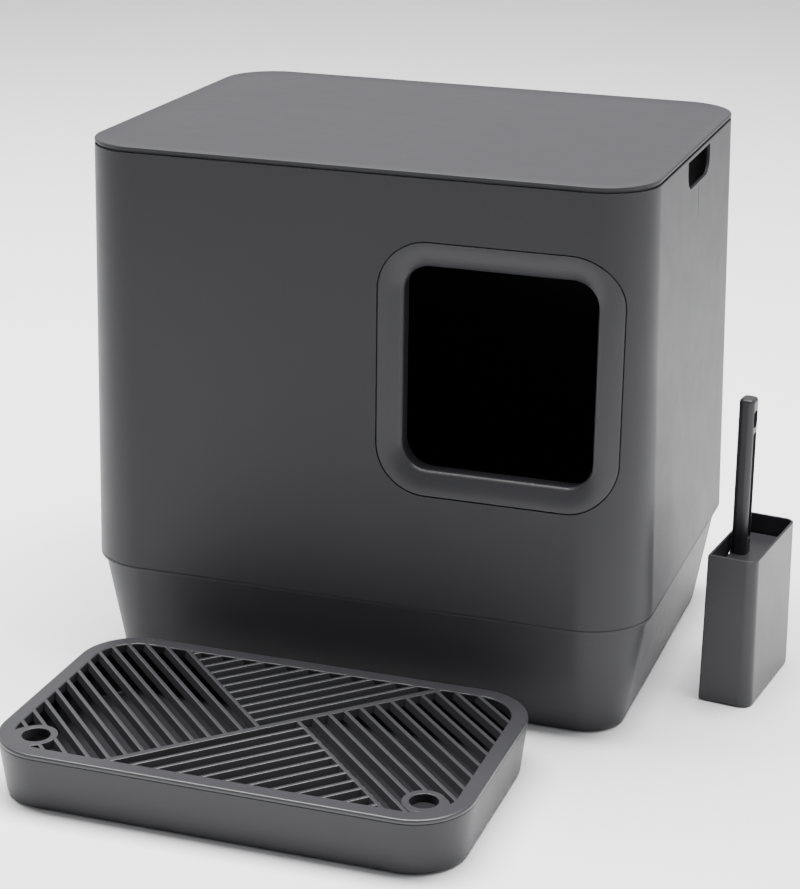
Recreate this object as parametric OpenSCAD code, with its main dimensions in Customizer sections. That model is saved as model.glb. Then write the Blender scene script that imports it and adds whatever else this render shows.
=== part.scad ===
// Hooded cat litter box with a front entry, shown assembled on the floor, with
// its landing tray and grate in front and its scoop in a holder at the side.
// +X is to the right, +Y to the back, +Z up. The origin is the middle of the
// underside of the pan.

/* [Hood] */
// Width of the hood at its lower edge
hood_w = 560; // [500:5:620]
// Depth of the hood at its lower edge
hood_d = 422; // [380:2:470]
// Height of the hood, lid included
hood_h = 413; // [390:1:450]
// Radius of the upright corners at the lower edge
corner_r = 63; // [52:1:72]
// How far each side leans in between the lower edge and the top
hood_lean = 9; // [5:1:12]
// Wall thickness of the hood
hood_wall = 3; // [2.5:0.1:3.6]

/* [Lid] */
// Thickness of the lid plate
lid_t = 3; // [2.5:0.1:4]
// Height of the shadow gap under the lid plate
shadow_h = 2.5; // [2:0.1:3.5]
// Depth of the shadow gap
shadow_depth = 1.8; // [1.2:0.1:2.4]
// Width of the ledge in the hood that carries the lid
ledge_w = 8; // [6:0.5:11]
// Thickness of that ledge
ledge_t = 3.5; // [2.5:0.1:5]
// How far the lid's locating lip reaches down
lip_h = 6; // [4.5:0.5:9]
// Thickness of the locating lip
lip_t = 2; // [1.6:0.1:3]
// Play between the lip and the ledge
lid_fit = 0.4; // [0.3:0.05:0.8]

/* [Hand grips] */
// Width of the grip hole in each end of the hood
grip_w = 95; // [80:1:115]
// Height of the grip hole
grip_h = 27.5; // [24:0.5:34]
// Radius of its lower corners
grip_r = 16; // [10:0.5:20]
// How far the grips sit behind the middle of the end wall
grip_y = 6; // [-10:1:15]

/* [Entry] */
// Clear width of the entry
entry_w = 180; // [150:1:190]
// Clear height of the entry
entry_h = 192; // [170:1:205]
// Corner radius of the clear opening
entry_r = 24; // [16:1:34]
// Sideways place of the entry's middle
entry_x = 140; // [110:1:146]
// Height of the entry's sill above the hood's lower edge
entry_sill = 135; // [110:1:145]
// Width of the sloping face of the frame round the opening
frame_band = 23; // [16:0.5:26]
// How far the frame's face slopes in
frame_depth = 9.5; // [6:0.5:12]
// How deep the collar reaches behind the sloping face
collar_depth = 20; // [10:1:30]
// Wall thickness of the frame
frame_t = 2.5; // [2:0.1:3]
// Width of the dark groove round the frame
groove_w = 1; // [0.6:0.1:1.6]
// How far the frame's flange laps over the hood's wall from inside
flange_lap = 6; // [4:0.5:8]

/* [Pan] */
// Height from the floor to the seat of the hood
seat_z = 115; // [95:1:140]
// How far each pan wall flares out between floor and seat
pan_flare = 20; // [10:1:26]
// Wall thickness of the pan
pan_wall = 3; // [2.5:0.1:4]
// Thickness of the pan's floor
pan_floor = 3; // [2.5:0.1:4]
// Height of the step that stands up inside the hood
step_h = 5; // [4:0.5:8]
// Play between that step and the hood
seat_fit = 0.5; // [0.4:0.05:1]
// Thickness of the rim's flange under the hood's edge
rim_t = 3; // [2:0.1:4]

/* [Tray] */
// Length of the tray at its rim
tray_w = 440; // [400:5:480]
// Depth of the tray at its rim
tray_d = 256; // [230:2:290]
// Height of the tray
tray_h = 52; // [42:1:62]
// Corner radius at the rim
tray_r = 54; // [50:1:68]
// How far each tray wall flares out
tray_flare = 6.3; // [4:0.1:9]
// Wall thickness of the tray
tray_wall = 2.5; // [2:0.1:3]
// Thickness of the tray's floor
tray_floor = 2.5; // [2:0.1:3]
// Width of the small upright rib inside each end of the tray
tray_rib_w = 2; // [1.5:0.1:3]
// How far that rib stands off the wall
tray_rib_t = 0.8; // [0.5:0.1:1.2]
// How far the ribs sit behind the tray's middle
tray_rib_y = 12; // [0:1:30]
// Gap on the floor between the tray and the pan
tray_gap = 26; // [12:1:60]
// Sideways place of the tray's middle
tray_x = -20; // [-60:1:30]

/* [Grate] */
// Thickness of the grate's plate
grate_t = 4; // [3:0.1:5]
// Depth of the bars and the inner skirt below the plate
grate_drop = 4.5; // [3:0.1:6]
// Play between the inner skirt and the tray's rim
grate_fit = 1.2; // [1:0.05:1.6]
// Width of the plain border round the slots
border_w = 15.5; // [13:0.5:20]
// Distance from one bar to the next
bar_pitch = 15.4; // [13:0.1:18]
// Width of a bar
bar_w = 7; // [5:0.1:8]
// Distance of the two short ribs from the pattern's middle, along the long rib
rib_reach = 18; // [15:0.5:22]
// Width of the long diagonal rib
spine_w = 8.6; // [7:0.1:11]
// How far the pattern's middle sits right of the plate's middle
pattern_x = 12; // [0:1:20]
// Diameter of the finger holes
finger_d = 25; // [20:0.5:28]
// Solid ring round each finger hole
finger_ring = 6.5; // [5:0.5:8]
// Distance of the finger holes from the plate's middle, sideways
finger_x = 180; // [165:1:188]
// Distance of the finger holes from the plate's middle, forwards
finger_y = 91; // [80:1:94]

/* [Scoop] */
// Width of the scoop's head
scoop_w = 112; // [100:1:125]
// Depth of the head from its open side to its floor
scoop_d = 39; // [34:0.5:46]
// Height of the head from tip to shoulder
scoop_h = 132; // [122:1:145]
// Height at which the floor starts to curve in to the tip
curve_z = 75; // [65:1:85]
// Radius of that curve
curve_r = 100; // [94:1:120]
// Radius of the shoulder
shoulder_r = 10; // [6:0.5:13]
// Wall thickness of the head
scoop_wall = 2.5; // [2:0.1:3]
// Number of slot columns across the floor
slot_cols = 7; // [5:1:8]
// Distance between slot columns
slot_pitch = 13.2; // [11:0.1:14]
// Width of a slot
slot_w = 6.4; // [5:0.1:7.5]
// Height of the lowest row of slots
slot_z = 42; // [38:1:46]
// Length of the slots in the lowest row
slot_l = 20; // [16:0.5:22]
// How much longer each row is than the one below it
slot_growth = 3; // [1:0.5:4]
// Solid strip between the rows
slot_gap = 4.5; // [3.5:0.1:6]

/* [Scoop handle] */
// Thickness of the handle, front to back of the scoop
handle_t = 15.5; // [13:0.5:18]
// Width of the handle
handle_w = 19; // [17:0.5:23]
// Corner radius of the handle's section
handle_r = 5.5; // [4:0.1:6]
// Length of the handle above the shoulder
handle_l = 158; // [140:1:180]
// Length of the tang inside the head
tang_l = 14; // [10:0.5:18]
// Wall of the socket round the tang
socket_wall = 2.6; // [2:0.1:3.2]
// Play of the tang in its socket
tang_fit = 0.15; // [0.1:0.05:0.3]
// Width of the hanging hole
hang_w = 10.5; // [8:0.5:12]
// Height of the hanging hole
hang_h = 17; // [14:0.5:22]
// Distance of the hanging hole from the handle's end
hang_drop = 12; // [9:0.5:18]
// Width of the long recess
recess_w = 8.5; // [6:0.5:10]
// Depth of the long recess
recess_t = 2.5; // [1.5:0.1:3.5]
// Plain length between the recess and the shoulder
recess_foot = 14; // [10:0.5:25]
// Plain length between the recess and the hanging hole
recess_head = 5; // [4:0.5:12]

/* [Scoop holder] */
// Height of the holder
holder_h = 152; // [142:1:170]
// Wall thickness of the holder
holder_wall = 2.5; // [2:0.1:3]
// Thickness of the holder's floor
holder_floor = 2.5; // [2:0.1:4]
// How much wider each side is at the foot than at the rim
holder_flare = 1.8; // [1:0.1:3]
// Play round the scoop, front to back of the scoop
holder_fit_x = 2; // [1.5:0.1:4]
// Play round the scoop, sideways
holder_fit_y = 4.5; // [2:0.1:7]
// Radius of the two outer corners at the rim
holder_r = 10; // [7:0.5:13]
// Width of the hanging slot in the flat side
hook_w = 10; // [8:0.5:14]
// Height of the hanging slot
hook_h = 16; // [14:0.5:22]
// Distance of the hanging slot below the rim
hook_drop = 26; // [18:1:40]
// Gap on the floor between the pan's rim and the holder
holder_gap = 42; // [20:1:70]
// How far the holder stands in front of the pan's middle
holder_y = 20; // [0:1:100]
// How far the holder and the scoop in it are turned towards the front
holder_turn = 7; // [0:1:15]

/* [Hidden] */
$fn = 96;

// Overshoot that lets a cut run clear of the face it opens
over = 2;

// Hood: inward growth of its outline per millimetre of height
hood_slope = -hood_lean / hood_h;
lean_angle = atan(hood_lean / hood_h);
shell_top = hood_h - lid_t - shadow_h;
ledge_z = shell_top - ledge_t;
lip_inset = hood_wall + ledge_w + lid_fit;

// Entry: middle of the opening above the hood's lower edge
entry_z = entry_sill + entry_h / 2;
frame_slope = frame_band / frame_depth;
frame_reach = 60;

// Pan: its wall stands inside the hood's wall at the seat
pan_inset = hood_wall + seat_fit;
pan_w = hood_w - 2 * (pan_inset + pan_flare);
pan_d = hood_d - 2 * (pan_inset + pan_flare);
pan_r = corner_r - pan_inset - pan_flare;
pan_slope = pan_flare / seat_z;

// Tray: outline at its foot
tray_slope = tray_flare / tray_h;
tray_y = -(hood_d / 2 + tray_gap + tray_d / 2);
skirt_inset = tray_wall + grate_fit;
rib_h = tray_h - tray_floor - grate_drop - over;

// Grate pattern, in the turned axes of its bars
pattern_reach = tray_w;
bar_count = ceil(pattern_reach / bar_pitch);

// Scoop and holder
slot_rows = 3;
tip_inner = scoop_d - curve_r;
holder_w = scoop_d + 2 * (holder_fit_x + holder_wall + holder_flare);
holder_d = scoop_w + 2 * (holder_fit_y + holder_wall + holder_flare);
holder_slope = -holder_flare / holder_h;
holder_x = hood_w / 2 + holder_gap + holder_w / 2;
recess_z = recess_foot;
recess_l = handle_l - recess_foot - recess_head - hang_h - hang_drop;

plastic = [0.24, 0.24, 0.26];

// A size rounded to a micron, so that flat and round sides meet edge to edge
function micron(x) = round(x * 1000) / 1000;

// Side view of a tapering block: it stands low past w / 2 at its foot and high
// past it at height h
module flank(w, low, high, h) {
    polygon([[-w / 2 - low, 0], [w / 2 + low, 0],
             [w / 2 + high, h], [-w / 2 - high, h]]);
}

// Rounded block whose outline grows by slope for each millimetre of height.
// w, d and r hold at height 0; inset draws the whole outline in.
module tapered(w, d, r, slope, z0, z1, inset = 0) {
    low = micron(slope * z0 - inset);
    high = micron(slope * z1 - inset);
    h = z1 - z0;
    translate([0, 0, z0]) {
        for (x = [-1, 1], y = [-1, 1])
            translate([x * (w / 2 - r), y * (d / 2 - r), 0])
                cylinder(h = h, r1 = r + low, r2 = r + high);
        rotate([90, 0, 90])
            linear_extrude(w - 2 * r, center = true)
                flank(d, low, high, h);
        rotate([90, 0, 0])
            linear_extrude(d - 2 * r, center = true)
                flank(w, low, high, h);
    }
}

// Flat outline with rounded corners
module rounded(w, d, r) {
    square([w - 2 * r, d], center = true);
    square([w, d - 2 * r], center = true);
    for (x = [-1, 1], y = [-1, 1])
        translate([x * (w / 2 - r), y * (d / 2 - r)])
            circle(r);
}

// Outside form of the hood, drawn in by inset, between two heights
module hood_form(inset, z0, z1) {
    translate([0, 0, seat_z])
        tapered(hood_w, hood_d, corner_r, hood_slope, z0, z1, inset);
}

// Axes of the entry: origin in the middle of the opening on the front face,
// x to the right, y up the face, z out of the hood
module entry_axes() {
    translate([entry_x, -hood_d / 2 - hood_slope * entry_z, seat_z + entry_z])
        rotate([90 - lean_angle, 0, 0])
            children();
}

// Straight block through the entry, grown by a margin, between two depths
module entry_block(grow, z0, z1) {
    translate([0, 0, z0])
        linear_extrude(z1 - z0)
            rounded(entry_w + 2 * grow, entry_h + 2 * grow, entry_r + grow);
}

// Hollow of the sloping face, grown by a margin
module entry_funnel(grow, out) {
    translate([0, 0, -frame_depth])
        tapered(entry_w, entry_h, entry_r, frame_slope, 0, frame_depth + out, -grow);
}

// One hand grip: straight upper edge, rounded lower corners
module grip_hole() {
    translate([0, grip_y, seat_z + ledge_z])
        rotate([90, 0, 90])
            linear_extrude(hood_w)
                intersection() {
                    rounded(grip_w, 2 * grip_h, grip_r);
                    translate([-grip_w / 2, -grip_h])
                        square([grip_w, grip_h]);
                }
}

module hood_shell() {
    color(plastic)
        difference() {
            hood_form(0, 0, shell_top);
            hood_form(hood_wall, -over, ledge_z);
            hood_form(hood_wall + ledge_w, ledge_z - over, shell_top + over);
            entry_axes()
                entry_block(frame_band + groove_w, -frame_reach, over);
            grip_hole();
            mirror([1, 0, 0])
                grip_hole();
        }
}

module hood_lid() {
    color(plastic)
        difference() {
            union() {
                hood_form(0, hood_h - lid_t, hood_h);
                hood_form(shadow_depth, shell_top, hood_h - lid_t);
                hood_form(lip_inset, shell_top - lip_h, shell_top);
            }
            hood_form(lip_inset + lip_t, shell_top - lip_h - over, hood_h - lid_t);
        }
}

// Frame round the entry: a strip flush with the hood, the sloping face, a
// flange behind the hood's wall and a collar that lines the opening
module entry_frame() {
    color(plastic)
        difference() {
            union() {
                intersection() {
                    difference() {
                        hood_form(0, 0, shell_top);
                        hood_form(hood_wall + frame_t, -over, shell_top + over);
                    }
                    entry_axes()
                        entry_block(frame_band, -frame_reach, over);
                }
                intersection() {
                    difference() {
                        hood_form(hood_wall, 0, ledge_z);
                        hood_form(hood_wall + frame_t, -over, shell_top + over);
                    }
                    entry_axes()
                        entry_block(frame_band + groove_w + flange_lap,
                                    -frame_reach, over);
                }
                intersection() {
                    hood_form(0, 0, shell_top);
                    entry_axes()
                        entry_block(frame_band, -frame_depth, over);
                    entry_axes()
                        entry_funnel(frame_t, over);
                }
                entry_axes()
                    entry_block(frame_t, -frame_depth - collar_depth, -frame_depth);
            }
            entry_axes()
                entry_funnel(0, over);
            entry_axes()
                entry_block(0, -frame_reach, over);
        }
}

module litter_pan() {
    inner_w = hood_w - 2 * pan_inset;
    inner_d = hood_d - 2 * pan_inset;
    inner_r = corner_r - pan_inset;
    color(plastic)
        difference() {
            union() {
                tapered(pan_w, pan_d, pan_r, pan_slope, 0, seat_z);
                translate([0, 0, seat_z - rim_t])
                    linear_extrude(rim_t)
                        rounded(hood_w, hood_d, corner_r);
                translate([0, 0, seat_z])
                    tapered(inner_w, inner_d, inner_r, hood_slope, 0, step_h);
            }
            tapered(pan_w, pan_d, pan_r, pan_slope, pan_floor, seat_z, pan_wall);
            translate([0, 0, seat_z])
                linear_extrude(step_h + over)
                    rounded(inner_w - 2 * pan_wall, inner_d - 2 * pan_wall,
                            inner_r - pan_wall);
        }
}

// Outside form of the tray, drawn in by inset, between two heights
module tray_form(inset, z0, z1) {
    tapered(tray_w - 2 * tray_flare, tray_d - 2 * tray_flare,
            tray_r - tray_flare, tray_slope, z0, z1, inset);
}

module landing_tray() {
    color(plastic)
        translate([tray_x, tray_y, 0]) {
            difference() {
                tray_form(0, 0, tray_h);
                tray_form(tray_wall, tray_floor, tray_h + over);
            }
            intersection() {
                difference() {
                    tray_form(tray_wall, tray_floor, tray_floor + rib_h);
                    tray_form(tray_wall + tray_rib_t, 0, tray_h);
                }
                translate([-tray_w / 2, tray_rib_y - tray_rib_w / 2, 0])
                    cube([tray_w, tray_rib_w, tray_h]);
            }
        }
}

// Row of open strips between bars, along y, to the right of the first bar
module strips(first) {
    for (i = [0 : bar_count - 1])
        translate([first + i * bar_pitch, -pattern_reach])
            square([bar_pitch - bar_w, 2 * pattern_reach]);
}

// Slots of a right-hand zone and the triangle below it, in axes turned by 45
// degrees: u runs to the back right, v to the front right
module half_pattern() {
    // right zone: bars across u, on the side of the spine that v points to
    intersection() {
        strips(rib_reach + bar_w / 2);
        translate([0, spine_w / 2])
            square([pattern_reach, pattern_reach]);
    }
    // lower triangle: bars across v, from the short rib back to the left
    intersection() {
        mirror([1, -1])
            strips(spine_w / 2);
        translate([-pattern_reach, spine_w / 2])
            square([pattern_reach + rib_reach - bar_w / 2, pattern_reach]);
    }
}

// All slots, cut to the border and kept off the finger holes
module grate_slots() {
    difference() {
        intersection() {
            rounded(tray_w - 2 * border_w, tray_d - 2 * border_w, tray_r - border_w);
            translate([pattern_x, 0])
                for (turn = [0, 180])
                    rotate(turn + 45)
                        mirror([0, 1])
                            half_pattern();
        }
        for (s = [-1, 1])
            translate([s * finger_x, -finger_y])
                circle(finger_d / 2 + finger_ring);
    }
}

module grate() {
    color(plastic)
        translate([tray_x, tray_y, tray_h])
            difference() {
                union() {
                    linear_extrude(grate_t)
                        rounded(tray_w, tray_d, tray_r);
                    translate([0, 0, -grate_drop])
                        linear_extrude(grate_drop)
                            rounded(tray_w - 2 * skirt_inset, tray_d - 2 * skirt_inset,
                                    tray_r - skirt_inset);
                }
                translate([0, 0, -grate_drop - over])
                    linear_extrude(grate_drop + grate_t + 2 * over)
                        grate_slots();
                for (s = [-1, 1])
                    translate([s * finger_x, -finger_y, -grate_drop - over])
                        cylinder(h = grate_drop + grate_t + 2 * over, d = finger_d);
            }
}

// Side view of the scoop's head, drawn in by inset: x from the open side to
// the floor, y up
module scoop_profile(inset, open) {
    d = scoop_d - inset;
    r = curve_r - inset;
    top = scoop_h - inset;
    round_r = shoulder_r - inset;
    intersection() {
        translate([-open, -open])
            square([d + open, curve_z + open]);
        translate([tip_inner, curve_z])
            circle(r);
    }
    translate([-open, curve_z])
        square([d + open, top - round_r - curve_z]);
    translate([-open, curve_z])
        square([d - round_r + open, top - curve_z]);
    translate([d - round_r, top - round_r])
        circle(round_r);
}

// Axes of the holder: origin in the middle of its foot, x from its flat side
// to its rounded one
module holder_axes() {
    translate([holder_x, -holder_y, 0])
        rotate(-holder_turn)
            children();
}

// Axes of the scoop in the holder: x from its open side to its floor
module scoop_axes() {
    holder_axes()
        translate([-scoop_d / 2, 0, holder_floor])
            children();
}

module handle_section(grow) {
    translate([handle_t / 2, 0])
        rounded(handle_t + 2 * grow, handle_w + 2 * grow, handle_r + grow);
}

module scoop_slots() {
    for (row = [0 : slot_rows - 1], col = [0 : slot_cols - 1]) {
        z = slot_z + row * (slot_l + slot_gap) + slot_growth * row * (row - 1) / 2;
        l = slot_l + row * slot_growth;
        y = (col - (slot_cols - 1) / 2) * slot_pitch;
        translate([0, y, z])
            rotate([90, 0, 90])
                linear_extrude(scoop_d + over) {
                    translate([-slot_w / 2, slot_w / 2])
                        square([slot_w, l - slot_w]);
                    for (end = [slot_w / 2, l - slot_w / 2])
                        translate([0, end])
                            circle(slot_w / 2);
                }
    }
}

module scoop_head() {
    color(plastic)
        scoop_axes()
            difference() {
                union() {
                    difference() {
                        translate([0, scoop_w / 2, 0])
                            rotate([90, 0, 0])
                                linear_extrude(scoop_w)
                                    scoop_profile(0, 0);
                        translate([0, scoop_w / 2 - scoop_wall, 0])
                            rotate([90, 0, 0])
                                linear_extrude(scoop_w - 2 * scoop_wall)
                                    scoop_profile(scoop_wall, over);
                    }
                    translate([0, 0, scoop_h - tang_l - scoop_wall])
                        linear_extrude(tang_l + scoop_wall)
                            handle_section(0);
                }
                translate([0, 0, scoop_h - tang_l])
                    linear_extrude(tang_l + over)
                        handle_section(-socket_wall);
                scoop_slots();
            }
}

module scoop_handle() {
    color(plastic)
        scoop_axes() {
            translate([0, 0, scoop_h])
                difference() {
                    linear_extrude(handle_l)
                        handle_section(0);
                    translate([0, -hang_w / 2, handle_l - hang_drop - hang_h])
                        rotate([90, 0, 90])
                            translate([hang_w / 2, hang_h / 2, -over])
                                linear_extrude(handle_t + 2 * over)
                                    rounded(hang_w, hang_h, hang_w / 4);
                    for (x = [recess_t - handle_t, handle_t - recess_t])
                        translate([x, -recess_w / 2, recess_z])
                            cube([handle_t, recess_w, recess_l]);
                }
            translate([0, 0, scoop_h - tang_l + tang_fit])
                linear_extrude(tang_l - tang_fit)
                    handle_section(-socket_wall - tang_fit);
        }
}

// Outside form of the holder, drawn in by inset, between two heights: rounded
// corners on one side, square ones on the flat side that hangs on a wall
module holder_form(inset, z0, z1) {
    low = micron(holder_slope * z0 - inset);
    high = micron(holder_slope * z1 - inset);
    tapered(holder_w, holder_d, holder_r + holder_flare, holder_slope, z0, z1, inset);
    translate([0, 0, z0])
        intersection() {
            rotate([90, 0, -90])
                linear_extrude(holder_w)
                    flank(holder_d, low, high, z1 - z0);
            rotate([90, 0, 0])
                linear_extrude(2 * holder_d, center = true)
                    flank(holder_w, low, high, z1 - z0);
        }
}

module scoop_holder() {
    color(plastic)
        holder_axes()
            difference() {
                holder_form(0, 0, holder_h);
                holder_form(holder_wall, holder_floor, holder_h + over);
                translate([-holder_w, 0, holder_h - hook_drop - hook_h / 2])
                    rotate([90, 0, 90])
                        linear_extrude(holder_w)
                            rounded(hook_w, hook_h, hook_w / 2 - 0.5);
            }
}

litter_pan();
hood_shell();
hood_lid();
entry_frame();
landing_tray();
grate();
scoop_head();
scoop_handle();
scoop_holder();
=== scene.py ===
"""Looks of a hooded cat litter box with its tray, grate, scoop and holder."""
from math import atan2, ceil, cos, hypot, pi, radians, sin, sqrt, tan

import bmesh
import bpy
from mathutils import Matrix, Vector


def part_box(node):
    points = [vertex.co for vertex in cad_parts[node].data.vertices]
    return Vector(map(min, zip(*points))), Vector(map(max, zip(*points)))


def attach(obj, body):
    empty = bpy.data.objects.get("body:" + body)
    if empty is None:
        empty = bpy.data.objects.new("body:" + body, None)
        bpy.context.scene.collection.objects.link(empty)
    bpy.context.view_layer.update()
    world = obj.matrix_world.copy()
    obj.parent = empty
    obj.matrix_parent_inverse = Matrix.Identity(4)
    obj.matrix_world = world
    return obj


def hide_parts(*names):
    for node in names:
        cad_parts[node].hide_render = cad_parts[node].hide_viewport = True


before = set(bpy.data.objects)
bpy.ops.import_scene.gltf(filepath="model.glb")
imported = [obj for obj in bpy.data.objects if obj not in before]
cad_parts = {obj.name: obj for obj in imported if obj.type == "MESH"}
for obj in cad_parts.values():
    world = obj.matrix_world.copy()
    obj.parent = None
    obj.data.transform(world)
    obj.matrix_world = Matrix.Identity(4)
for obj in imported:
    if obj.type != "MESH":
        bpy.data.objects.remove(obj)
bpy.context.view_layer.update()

MM = 0.001

# Camera, fitted to the photograph: place in millimetres from the middle of the
# pan, turn about the vertical, tilt and roll in degrees, focal length in pixels
PHOTO_W, PHOTO_H = 800, 889
CAMERA_AT = (692.9, -2046.5, 977.3)
CAMERA_TURN, CAMERA_TILT, CAMERA_ROLL = 17.74, 19.07, 0.81
FOCAL_PX = 2264
AXIS_PX = (457, 414)
SENSOR_MM = 36

# Hood, in millimetres
HOOD_W, HOOD_D, HOOD_H = 560, 422, 413
CORNER_R = 63
HOOD_LEAN = 9
HOOD_WALL = 3
HOOD_SLOPE = -HOOD_LEAN / HOOD_H
LID_T, SHADOW_H, SHADOW_DEPTH = 3, 2.5, 1.8
LEDGE_W, LEDGE_T = 8, 3.5
LIP_H, LIP_T, LID_FIT = 6, 2, 0.4
LID_EDGE_R, DISH_DEPTH, DISH_REACH, DISH_CURVE = 1.3, 1.4, 22, 2.2
SHELL_TOP = HOOD_H - LID_T - SHADOW_H
LEDGE_Z = SHELL_TOP - LEDGE_T
GRIP_W, GRIP_H, GRIP_R, GRIP_Y = 95, 27.5, 16, 6
LINE_W, LINE_H, LINE_DEPTH = 1.2, 42, 0.5

# Entry
ENTRY_W, ENTRY_H, ENTRY_R = 180, 192, 24
ENTRY_X, ENTRY_SILL = 140, 135
ENTRY_Z = ENTRY_SILL + ENTRY_H / 2
FRAME_BAND, GROOVE_W = 23, 1
FRAME_DEPTH, COLLAR_DEPTH, FRAME_T = 9.5, 20, 2.5
ROLL_BAND, ROLL_DEPTH, ROLL_R, COLLAR_FLARE = 1.8, 5.2, 2.4, 3.0
FRAME_EDGE = 0.45
FLANGE_LAP = 6

# Pan
SEAT_Z = 115
PAN_FLARE, PAN_WALL, PAN_FLOOR, PAN_FOOT_R = 20, 3, 3, 7
RIM_STEP_H, SEAT_FIT, RIM_T = 5, 0.5, 3
PAN_INSET = HOOD_WALL + SEAT_FIT

# Tray and grate
TRAY_W, TRAY_D, TRAY_H, TRAY_R = 440, 256, 52, 54
TRAY_FLARE, TRAY_WALL, TRAY_FLOOR, TRAY_FOOT_R = 6.3, 2.5, 2.5, 6
TRAY_RIB_W, TRAY_RIB_T, TRAY_RIB_Y = 2, 0.8, 12
GRATE_T, GRATE_DROP, GRATE_FIT, GRATE_EDGE_R = 4, 4.5, 1.2, 2.2
BORDER_W, BAR_PITCH, BAR_W, SPINE_W = 15.5, 15.4, 7, 8.6
BAR_CREST, SPINE_CREST, BAR_EDGE_R, BAR_EDGE_STEPS = 3.6, 6.4, 1.0, 5
PATTERN_X, RIB_REACH = 12, 18
FINGER_D, FINGER_RING = 25, 6.5
FINGER_X, FINGER_Y = 180, 91
CORNER_FILL = 4.5

# Scoop and holder
SCOOP_W, SCOOP_D, SCOOP_H = 112, 39, 132
CURVE_Z, CURVE_R, SHOULDER_R, SCOOP_WALL = 75, 100, 10, 2.5
SLOT_COLS, SLOT_ROWS, SLOT_PITCH, SLOT_W = 7, 3, 13.2, 6.4
SLOT_Z, SLOT_L, SLOT_GROWTH, SLOT_GAP, SLOT_REACH = 42, 20, 3, 4.5, 25
HANDLE_T, HANDLE_W, HANDLE_R, HANDLE_L = 15.5, 19, 5.5, 158
TANG_L, SOCKET_WALL, TANG_FIT, DOME_R = 14, 2.6, 0.15, 3.4
HANG_W, HANG_H, HANG_DROP = 10.5, 17, 12
RECESS_W, RECESS_T, RECESS_FOOT, RECESS_HEAD = 8.5, 2.5, 14, 5
HOLDER_H, HOLDER_WALL, HOLDER_FLOOR, HOLDER_FLARE = 152, 2.5, 2.5, 1.8
HOLDER_FIT_X, HOLDER_FIT_Y, HOLDER_R, HOLDER_BACK_R = 2, 4.5, 10, 1
HOOK_W, HOOK_H, HOOK_DROP = 10, 16, 26
HOLDER_TURN = 7

# Floor rings lie this far in from the walls of the pan, the tray and the holder
PAN_REACH, TRAY_REACH, HOLDER_REACH = 60, 50, 18
# Cutting blocks run this far past what they cut
PAST = 5

# Steps in a quarter turn of an outline, and of the hood's and the lid's outline
STEPS, HOOD_STEPS = 24, 36
# Points that keep flat faces flat lie this far from the corners of an outline, and
# from the ends of a side view's long lines
OUTLINE_MARGIN, VIEW_MARGIN = 2.0, 1.2
SHARP = radians(32)

# Patterns of the moulded plastic, as noise scales for metres
CLOUDS, PATCHES, TEXTURE, SPECKLE = 9.0, 34.0, 1500.0, 5200.0

# Soft lights: name, place, what they face, size in metres and power in watts
LIGHTS = [
    ("back_wall", (-1.0, 5.4, 1.9), (-0.6, 0.0, 1.5), (11.0, 3.8), 66),
    ("right_softbox", (2.7, -0.6, 1.0), (0.1, 0.0, 0.3), (1.4, 1.8), 12),
    ("top_softbox", (-0.2, 0.2, 3.6), (-0.2, 0.2, 0.0), (3.8, 1.8), 560),
    ("left_strip", (-2.5, 0.8, 1.4), (-0.1, -0.2, 0.2), (0.5, 1.4), 10),
]
STUDIO_GREY, STUDIO_LIGHT = (0.96, 0.97, 1.0), 0.28
FLOOR_DARK, FLOOR_PALE = (0.93, 0.93, 0.93), (0.96, 0.96, 0.96)
FLOOR_HALF = 15000


def middle(node):
    """Middle of a CAD node's outline, in millimetres."""
    low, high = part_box(node)
    return (low.x + high.x) / 2 / MM, (low.y + high.y) / 2 / MM


TRAY_X, TRAY_Y = middle("landing_tray")
HOLDER_X, HOLDER_Y = middle("scoop_holder")


# ---------------------------------------------------------------- shapes

def fillet(corners, closed=False, steps=5):
    """A flat path whose corners (x, y, radius) are rounded by arcs."""
    path = []
    count = len(corners)
    for i, (x, y, r) in enumerate(corners):
        at_end = not closed and i in (0, count - 1)
        if r == 0 or at_end:
            path.append((x, y))
            continue
        x0, y0, _ = corners[i - 1]
        x1, y1, _ = corners[(i + 1) % count]
        a, b = Vector((x0 - x, y0 - y)).normalized(), Vector((x1 - x, y1 - y)).normalized()
        half = a.angle(b) / 2
        if half > pi / 2 - 0.01:
            path.append((x, y))
            continue
        centre = Vector((x, y)) + (a + b).normalized() * (r / sin(half))
        start = Vector((x, y)) + a * (r / tan(half)) - centre
        sweep = start.angle_signed(Vector((x, y)) + b * (r / tan(half)) - centre)
        for k in range(steps + 1):
            turn = -sweep * k / steps
            path.append((centre.x + start.x * cos(turn) - start.y * sin(turn),
                         centre.y + start.x * sin(turn) + start.y * cos(turn)))
    return path


def braced(path, closed, margin):
    """The same path with points close to both ends of each long side, which keep
    the shading of a flat side flat."""
    points = []
    count = len(path)
    for i, (x, y) in enumerate(path):
        points.append((x, y))
        if not closed and i == count - 1:
            break
        x1, y1 = path[(i + 1) % count]
        length = hypot(x1 - x, y1 - y)
        if length > 5 * margin:
            share = margin / length
            for t in (share, 1 - share):
                points.append((x + (x1 - x) * t, y + (y1 - y) * t))
    return points


def outline(width, depth, radii, grow=0.0, steps=STEPS, margin=OUTLINE_MARGIN):
    """Rounded outline, anticlockwise from the front right corner. radii are those
    of the front right, back right, back left and front left corners."""
    points, least = [], 0.3
    for k, r in enumerate(radii):
        r = max(r + grow, least)
        sx = 1 if k < 2 else -1
        sy = 1 if k in (1, 2) else -1
        cx = sx * (width / 2 + grow - r)
        cy = sy * (depth / 2 + grow - r)
        for i in range(steps + 1):
            a = radians(90 * (k - 1 + i / steps))
            points.append((cx + r * cos(a), cy + r * sin(a)))
    return braced_sides(points, steps, margin)


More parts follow.
